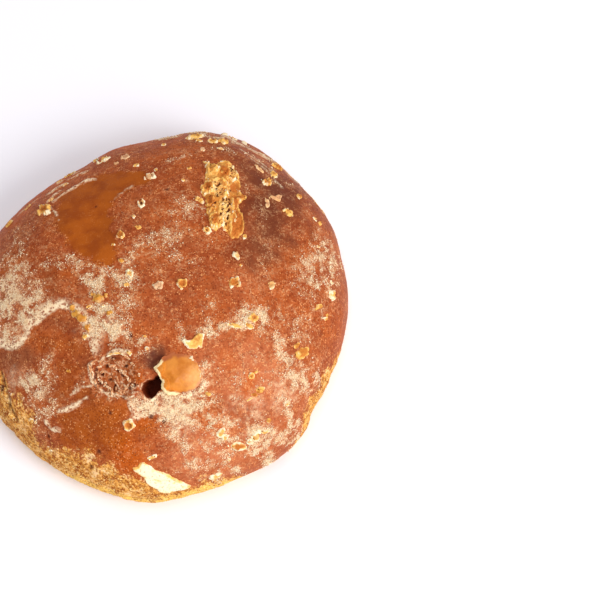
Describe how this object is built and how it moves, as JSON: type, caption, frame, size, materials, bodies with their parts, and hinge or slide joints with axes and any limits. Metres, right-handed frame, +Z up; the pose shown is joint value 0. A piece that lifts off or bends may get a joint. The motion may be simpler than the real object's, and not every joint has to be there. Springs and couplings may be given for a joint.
{
  "type": "jaggery block",
  "caption": "Round domed block of set raw cane sugar, turned out of a bowl, with a flat foot, an uneven rim, a burst blister, a collapsed bubble and a raised scab of porous crust.",
  "frame": {"origin": "middle of the flat foot that the block lies on", "axes": "+Z up, from the foot to the crown of the dome; +X to the block's right and -Y to its front, the side with the burst blister and the pale sugar chip"},
  "size_m": [0.1558, 0.158, 0.0528],
  "materials": {
    "jaggery_skin": "set cane sugar skin: warm red-brown, satin, dusted in patches with cream sugar bloom",
    "amber_glaze": "thin clear amber sugar, smooth and slightly glossy",
    "cream_crust": "porous dried froth, matt, cream to ochre",
    "pale_sugar": "matt pale crystallised sugar"
  },
  "bodies": {
    "root": {"jaggery_block": "jaggery_skin"}
  },
  "joints": []
}
